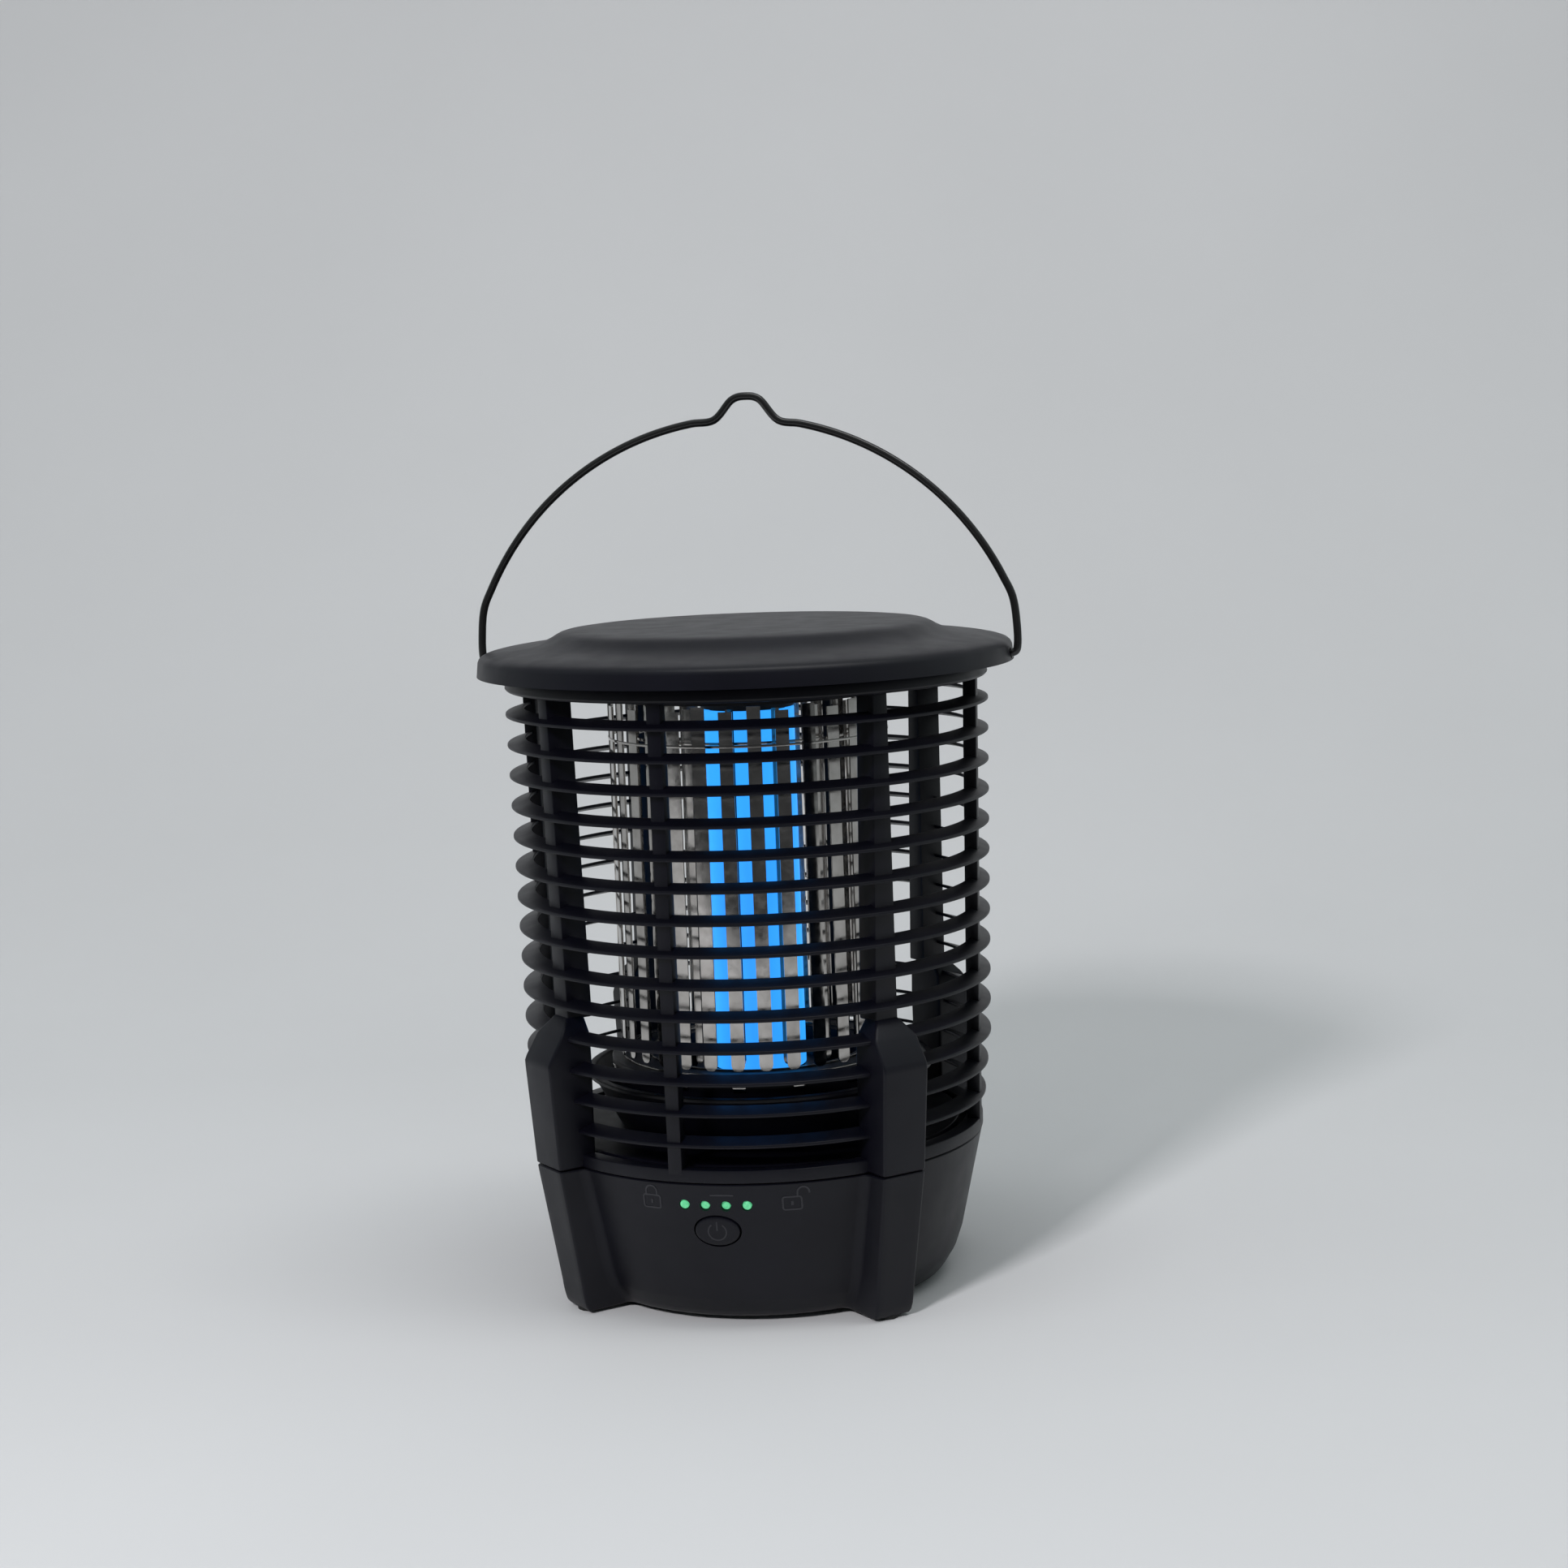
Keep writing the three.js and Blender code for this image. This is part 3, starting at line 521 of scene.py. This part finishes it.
def build_lid():
    shape = Shape().add(*lathe(LID_PROFILE, 192))
    lid = piece("top_cover_visual", shape, BLACK, "cage", ["top_cover"])
    holes = Shape()
    for sign in (-1, 1):
        line = [Vector((sign * x, 0, WIRE["pivot_z"])) * MM for x in (HOOK_X - 1, 90)]
        holes.add(*tube(line, 1.75 * MM, Vector((0, 1, 0)), 24))
    cut(lid, holes)


def handle_line():
    bend = 2.0
    end = [
        (HOOK_X, WIRE["pivot_z"]), (WIRE["side_x"] - bend, WIRE["pivot_z"]),
        (WIRE["side_x"] - 0.5, WIRE["pivot_z"] + 0.6), (WIRE["side_x"], WIRE["pivot_z"] + bend),
        (WIRE["side_x"], WIRE["straight_z"]),
    ]

    def arc(x):
        first, last, steps = math.radians(22), math.acos(x / WIRE["arc_r"]), 14
        angles = [first + (last - first) * i / steps for i in range(steps + 1)]
        return [(WIRE["arc_r"] * math.cos(a), WIRE["arc_z"] + WIRE["arc_r"] * math.sin(a)) for a in angles]

    top = WIRE["arc_z"] + WIRE["arc_r"] + HUMP["rise"]
    crown = ((-4.5, -1.2), (-2.4, -0.2), (0, 0), (2.4, -0.2), (4.5, -1.2))
    hump = [(HUMP["x"] + x, top + z) for x, z in crown]
    left = [(-x, z) for x, z in [*end, *arc(HUMP["half"] - HUMP["x"])]]
    right = [*end, *arc(HUMP["half"] + HUMP["x"])][::-1]
    return smooth_path([Vector((x, 0, z)) * MM for x, z in [*left, *hump, *right]])


def build_handle():
    shape = Shape().add(*tube(handle_line(), WIRE["r"] * MM, Vector((0, 1, 0)), 20))
    piece("handle_visual", shape, MATERIALS["handle_wire"], "handle", ["handle"])


# ---- Grids and lamp ----

def grid_bar(radius, half, angle, top):
    """Flat bar, slightly curved with the cylinder, with a rounded lower end."""
    z0 = GRID["z0"]
    rows = [(0.0, 0.35), (0.3, 0.65), (0.9, 0.88), (1.8, 1.0), (top - z0, 1.0)]
    rings = []
    for up, share in rows:
        sides = [half * share * k / 3 for k in (-3, -2, -1, 0, 1, 2, 3)]
        front = [(math.sqrt(radius ** 2 - s ** 2), s) for s in sides]
        back = [(math.sqrt(radius ** 2 - s ** 2) - GRID["bar_thick"], s) for s in sides[::-1]]
        rings.append([polar(r, angle, z0 + up, s) for r, s in front + back])
    return loft(rings)


def hoop(radius, z0, z1, thick):
    outline = [(radius - thick, z0), (radius, z0), (radius, z1), (radius - thick, z1)]
    return lathe(rounded(outline, 0.12))


def build_grids():
    step = 360 / GRID["bars"]
    for name, grid in GRIDS.items():
        radius = grid["r"]
        shape = Shape()
        for i in range(0, GRID["bars"], grid["every"]):
            top = GRID["short_z"] if i % 2 == 0 else GRID["z1"]
            shape.add(*grid_bar(radius, grid["half"], GRID["first"] + i * step, top))
        shape.add(*hoop(radius + GRID_HOOP["proud"], GRID_HOOP["z0"], GRID_HOOP["z1"], GRID_HOOP["thick"]))
        shape.add(*hoop(radius - GRID_FOOT["back"], GRID_FOOT["z0"], GRID_FOOT["z1"], GRID_FOOT["thick"]))
        piece(f"{name}_visual", shape, MATERIALS["grid_metal"], "base", [name])
    tabs = Shape()
    for i in range(GRID["bars"] // 2):
        ends = [(z, GRID_TAB["near"], GRID_TAB["far"], GRID_TAB["half"])
                for z in (GRID_TAB["z0"], GRID_TAB["z1"])]
        tabs.add(*strut(GRID_TAB["first"] + 2 * step * i, ends, 0.2))
    piece("grid_tabs", tabs, MATERIALS["grid_metal"], "base")


def build_holder():
    shape = Shape()
    ring = [(HOLDER["inner_r"], HOLDER["z0"]), (HOLDER["r"], HOLDER["z0"]),
            (HOLDER["r"], HOLDER["z1"]), (HOLDER["inner_r"], HOLDER["z1"])]
    bore = HOLDER["bore_r"]
    hub = [(bore, HOLDER["hub_z"]), (HOLDER["hub_r"], HOLDER["hub_z"]),
           (HOLDER["hub_r"], HOLDER["z0"] + 0.5), (bore, HOLDER["z0"] + 0.5)]
    column = [(bore, HOLDER["column_z"]), (HOLDER["column_r"], HOLDER["column_z"]),
              (HOLDER["column_r"], HOLDER["hub_z"] + 1), (bore, HOLDER["hub_z"] + 1)]
    for outline in (ring, hub, column):
        shape.add(*lathe(rounded(outline, 0.5), 128))
    near, far = HOLDER["hub_r"] - 2, HOLDER["inner_r"] + 2
    ends = [(z, near, far, HOLDER["spoke_half"]) for z in (HOLDER["hub_z"], HOLDER["z0"] + 2)]
    for angle in MAIN_ANGLES:
        shape.add(*strut(angle, ends, 0.4))
    piece("grid_bottom_holder_visual", shape, BLACK, "base", ["grid_bottom_holder"])


def build_lamp():
    r, inner = LAMP["r"], LAMP["r"] - LAMP["wall"]
    outline = [(inner, LAMP["z0"]), (r, LAMP["z0"]), (r, LAMP["z1"]), (inner, LAMP["z1"])]
    piece("lamp_tube_visual", Shape().add(*lathe(rounded(outline, 0.3), 96)),
          MATERIALS["lamp_blue"], "base", ["lamp_tube"])
    for name, outline in LAMP_ENDS.items():
        piece(f"{name}_visual", Shape().add(*lathe(outline, 96)),
              MATERIALS["inner_plastic"], "base", [name])


# ---- Base ----

def leg_half_section(wall_r, wall_z, leg_r, leg_z, half):
    """Points from the middle of a leg round to halfway to the next leg: (radial, side, z)."""
    reach = max(leg_r - wall_r, 1e-6)
    edge = min(LEG_EDGE, 0.3 * reach)
    fillet = min(LEG_FILLET, 0.45 * reach)
    quarter = [math.radians(a) for a in (0, 22.5, 45, 67.5, 90)]
    flat = [(half * share, 1.0) for share in (0, 0.3, 0.6)]
    round_edge = [(half - edge + edge * math.sin(a), 1 - edge * (1 - math.cos(a)) / reach) for a in quarter]
    centre = half + LEG_DRAFT + fillet
    hollow = [(centre - fillet * math.cos(a), fillet * (1 - math.sin(a)) / reach) for a in quarter]
    points = []
    for side, share in flat + round_edge + hollow:
        on_wall = math.sqrt(wall_r ** 2 - side ** 2)
        points.append((on_wall + share * (leg_r - on_wall), side, wall_z + share * (leg_z - wall_z)))
    first = math.asin(centre / wall_r)
    steps = 20
    for i in range(1, steps + 1):
        a = first + (math.pi / 4 - first) * i / steps
        points.append((wall_r * math.cos(a), wall_r * math.sin(a), wall_z))
    return points


def base_row(row):
    half_section = leg_half_section(*row)
    mirrored = [(r, -side, z) for r, side, z in half_section[:0:-1]]
    whole = mirrored + half_section[:-1]
    return [polar(r, angle, z, side) for angle in MAIN_ANGLES for r, side, z in whole]


def panel_point(x, up, out):
    """Point in the slanted frame of the front wall, `out` millimetres in front of it."""
    return Vector((
        x,
        -PANEL_R - out * math.cos(WALL_TILT) - up * math.sin(WALL_TILT),
        PANEL_Z + up * math.cos(WALL_TILT) - out * math.sin(WALL_TILT),
    )) * MM


def ellipse_stack(rings, centre_x=0.0, centre_up=0.0, sides=64):
    """Rings of (half width, half height, out) on the front wall, skinned."""
    return loft([
        [panel_point(centre_x + w * math.cos(a), centre_up + h * math.sin(a), out)
         for a in (2 * math.pi * k / sides for k in range(sides))]
        for w, h, out in rings
    ])


def light_places():
    return [(i - (LIGHT["count"] - 1) / 2) * LIGHT["pitch"] for i in range(LIGHT["count"])]


def build_base():
    shape = Shape().add(*loft([base_row(row) for row in BASE_ROWS], closed=True))
    base = piece("base_shell_visual", shape, BLACK, "base", ["base_shell"])
    w, h = BUTTON["half_width"] + BUTTON["slot"], BUTTON["half_height"] + BUTTON["slot"]
    holes = Shape().add(*ellipse_stack([(w, h, 4), (w, h, -8)]))
    for x in light_places():
        holes.add(*ellipse_stack([(LIGHT["hole"], LIGHT["hole"], 4), (LIGHT["hole"], LIGHT["hole"], -8)],
                                 x, LIGHT["up"], 32))
    half_w, half_h = PORT["width"] / 2, PORT["height"] / 2
    outline = rounded([(-half_w, PORT["z"] - half_h), (half_w, PORT["z"] - half_h),
                       (half_w, PORT["z"] + half_h), (-half_w, PORT["z"] + half_h)], 1.5, 6)
    holes.add(*loft([[Vector((x, y, z)) * MM for x, z in outline] for y in (55, 70)]))
    cut(base, holes)


def build_button():
    w, h, out = BUTTON["half_width"], BUTTON["half_height"], BUTTON["proud"]
    rings = [
        (w, h, out - BUTTON["depth"]), (w, h, out - 0.55), (w - 0.12, h - 0.12, out - 0.2),
        (w - 0.45, h - 0.45, out + 0.02), (w - 1.2, h - 1.2, out + 0.1),
        (w * 0.5, h * 0.5, out + 0.16), (w * 0.1, h * 0.1, out + 0.17),
    ]
    shape = Shape().add(*ellipse_stack(rings))
    piece("power_button_visual", shape, BLACK, "button", ["power_button"])
    half, front = ICON["width"] / 2, out + ICON["proud"]
    inner, outer = ICON["r"] - half, ICON["r"] + half
    icon = Shape()
    icon.add(*loft([
        [panel_point(r * math.cos(a), r * math.sin(a), o)
         for r, o in ((inner, out), (outer, out), (outer, front), (inner, front))]
        for a in (math.radians(degrees) for degrees in range(125, 416, 10))
    ]))
    icon.add(*loft([
        [panel_point(x, up, o) for x, o in ((-half, out), (half, out), (half, front), (-half, front))]
        for up in ICON["stem"]
    ]))
    piece("power_icon", icon, MARK, "button")


def build_lights():
    r, back = LIGHT["r"], -LIGHT["recess"] - LIGHT["length"]
    front = -LIGHT["recess"]
    for i, x in enumerate(light_places()):
        rings = [(r, r, back), (r, r, front - 0.35), (r * 0.85, r * 0.85, front - 0.1),
                 (r * 0.5, r * 0.5, front), (r * 0.1, r * 0.1, front + 0.02)]
        shape = Shape().add(*ellipse_stack(rings, x, LIGHT["up"], 32))
        piece(f"indicator_light_{i + 1}_visual", shape, MATERIALS["indicator_green"], "base",
              [f"indicator_light_{i + 1}"])


def wall_point(side, z, out):
    """Point `side` millimetres round the base wall from the front."""
    r = WALL_RIM[0] - (WALL_RIM[1] - z) * math.tan(WALL_TILT)
    return polar(r + out, math.degrees(side / r), z)


def wall_line(points, width, closed=False):
    """Raised line on the base wall through points of (side, z)."""
    count = len(points)
    rings = []
    for i, point in enumerate(points):
        before = points[i - 1] if closed or i else point
        after = points[(i + 1) % count] if closed or i < count - 1 else point
        along = (Vector(after) - Vector(before)).normalized()
        across = Vector((-along.y, along.x)) * width / 2
        left, right = Vector(point) + across, Vector(point) - across
        rings.append([wall_point(p.x, p.y, out) for p, out in
                      ((left, -0.1), (right, -0.1), (right, 0.12), (left, 0.12))])
    return loft(rings, closed)


def padlock(centre, is_open):
    """Outline of a padlock: a rounded box and a bow over it, swung aside if it is open."""
    low, width, body_high = PADLOCK["low"], PADLOCK["width"], PADLOCK["body_high"]
    shape = Shape()
    x0, x1 = centre - width / 2, centre + width / 2
    foot = low + body_high
    box = rounded([(x0, low), (x1, low), (x1, foot), (x0, foot)], 0.8, 4)
    shape.add(*wall_line(box, MARK_WIDTH, closed=True))
    bow = width * 0.32
    shift = width * 0.62 if is_open else 0.0
    arc = [(centre + shift - bow * math.cos(a), foot + 1.2 + bow * math.sin(a))
           for a in (math.pi * k / 12 for k in range(13))]
    free_end = (arc[-1][0], foot + (0.9 if is_open else 0.0))
    shape.add(*wall_line([(arc[0][0], foot), *arc, free_end], MARK_WIDTH))
    keyhole = [(centre, low + body_high * share) for share in (0.35, 0.68)]
    shape.add(*wall_line(keyhole, 0.7))
    return shape


def build_marks():
    line = Shape().add(*wall_line([(-1.3, 42.0), (5.6, 42.0)], MARK_WIDTH))
    marks = {"mark_closed": padlock(-19.8, False), "mark_open": padlock(22.6, True), "mark_line": line}
    for name, shape in marks.items():
        piece(name, shape, MARK, "base")


def build_deck():
    tray = Shape().add(*lathe(rounded(TRAY_PROFILE, 0.5), 160))
    piece("insect_tray_visual", tray, BLACK, "base", ["insect_tray"])
    shape = Shape().add(*lathe(rounded(DECK_PROFILE, 0.3), 160))
    lug_ends = [(z, DECK_LUG["near"], DECK_LUG["far"], DECK_LUG["half"])
                for z in (DECK_LUG["z0"], DECK_LUG["z1"])]
    boss_r = DECK_BOSS["r"] * MM
    for angle in MAIN_ANGLES:
        shape.add(*strut(angle, lug_ends, 0.3))
        x, y = polar(DECK_BOSS["from_axis"], angle, 0).xy
        shape.add(*loft([
            [Vector((x + boss_r * math.cos(a), y + boss_r * math.sin(a), z * MM))
             for a in (2 * math.pi * k / 24 for k in range(24))]
            for z in (DECK_BOSS["z0"], DECK_BOSS["z1"])
        ]))
    piece("base_deck_visual", shape, BLACK, "base", ["base_deck"])


# ---- Carried-over CAD nodes ----

def paint_kept_nodes():
    slots = {part["node"]: part["material_slot"] for part in frame["record"]["subparts"]}
    for name, obj in frame["nodes"].items():
        obj.data.materials.clear()
        obj.data.materials.append(MATERIALS[slots[name]])
        obj.data.shade_smooth()
        obj.data.set_sharp_from_angle(angle=math.radians(30))


# ---- Stage ----

def build_stage():
    """Pale sheet that curves up into a backdrop behind the object."""
    flat, bend, turn = SHEET["flat"], SHEET["bend"], math.radians(SHEET["turn"])
    profile = [(SHEET["front"], 0.0), (flat, 0.0)]
    profile += [(flat + bend * math.sin(a), bend * (1 - math.cos(a)))
                for a in (math.radians(5 * k) for k in range(1, 19))]
    profile.append((profile[-1][0], SHEET["high"]))
    across = Vector((math.cos(turn), math.sin(turn), 0))
    back = Vector((-math.sin(turn), math.cos(turn), 0))
    up = Vector((0, 0, 1))
    edges = (-SHEET["reach"], SHEET["reach"])
    verts = [side * across + y * back + z * up for y, z in profile for side in edges]
    faces = [(2 * i, 2 * i + 1, 2 * i + 3, 2 * i + 2) for i in range(len(profile) - 1)]
    mesh = bpy.data.meshes.new("floor")
    mesh.from_pydata(verts, [], faces)
    mesh.shade_smooth()
    floor = bpy.data.objects.new("floor", mesh)
    floor.location.z = -0.1 * MM        # just clear of the foot pads
    bpy.context.scene.collection.objects.link(floor)
    floor.data.materials.append(surface(
        "pale_sheet", (0.6, 0.612, 0.618), (0.63, 0.643, 0.65),
        roughness=(0.75, 0.85), grain=0.6, depth=0.02, patch=400.0))


def area_light(name, place, target, size, watts, color, mirrored=True):
    """Rectangular lamp. Glossy surfaces show it only if it is mirrored."""
    data = bpy.data.lights.new(name, "AREA")
    data.shape = "RECTANGLE"
    data.size, data.size_y = size
    data.energy = watts
    data.color = color
    light = bpy.data.objects.new(name, data)
    light.location = place
    light.visible_glossy = mirrored
    light.rotation_mode = "QUATERNION"
    light.rotation_quaternion = (Vector(target) - Vector(place)).to_track_quat("-Z", "Y")
    bpy.context.scene.collection.objects.link(light)


def build_lights_and_world():
    area_light("key", (-0.33, -1.32, 0.94), target=(0, 0, 0.1), size=(0.2, 0.2), watts=18.5,
               color=(1.0, 0.96, 0.985), mirrored=False)
    area_light("top", (0.4, -0.2, 2.0), target=(0.3, 1.2, 0.9), size=(1.5, 0.6), watts=15.5,
               color=(1.0, 0.98, 0.985))
    # The room is dim on the camera's side and bright above and behind the object.
    world = bpy.data.worlds.new("room")
    world.use_nodes = True
    tree = world.node_tree
    place = tree.nodes.new("ShaderNodeTexCoord")
    toward_back = tree.nodes.new("ShaderNodeVectorMath")
    toward_back.operation = "DOT_PRODUCT"
    toward_back.inputs[1].default_value = (0, 0.8, 0.6)
    tree.links.new(place.outputs["Generated"], toward_back.inputs[0])
    sky = ramp(tree, spread(tree, toward_back.outputs["Value"], 0, 1, -0.6, 1.0),
               [(0, (0.09, 0.095, 0.1)), (1, (0.88, 0.99, 1.0))])
    background = tree.nodes["Background"]
    tree.links.new(sky, background.inputs["Color"])
    background.inputs["Strength"].default_value = 0.74
    bpy.context.scene.world = world
    bpy.context.scene.view_settings.view_transform = "Standard"


def build_camera():
    """Stands round towards +X from the front, turned, tilted down and rolled a little."""
    pan, tilt, roll = CAMERA["pan"], CAMERA["tilt"], CAMERA["roll"]
    ahead = Vector((math.sin(pan) * math.cos(tilt), math.cos(pan) * math.cos(tilt), -math.sin(tilt)))
    level = Vector((math.cos(pan), -math.sin(pan), 0))
    above = level.cross(ahead)
    right = level * math.cos(roll) + above * math.sin(roll)
    up = above * math.cos(roll) - level * math.sin(roll)
    turn = Matrix.Rotation(math.radians(CAMERA["side"]), 4, "Z")
    place = Vector((0, -CAMERA["distance"], CAMERA["height"])) * MM
    basis = Matrix((right, up, -ahead)).transposed().to_4x4()
    data = bpy.data.cameras.new("camera")
    data.sensor_width = 36
    data.lens = CAMERA["lens"]
    data.clip_start = 0.05
    camera = bpy.data.objects.new("camera", data)
    camera.matrix_world = turn @ Matrix.Translation(place) @ basis
    bpy.context.scene.collection.objects.link(camera)
    bpy.context.scene.camera = camera


paint_kept_nodes()
build_cage()
build_lid()
build_handle()
build_grids()
build_holder()
build_lamp()
build_base()
build_button()
build_lights()
build_marks()
build_deck()
build_stage()
build_lights_and_world()
build_camera()
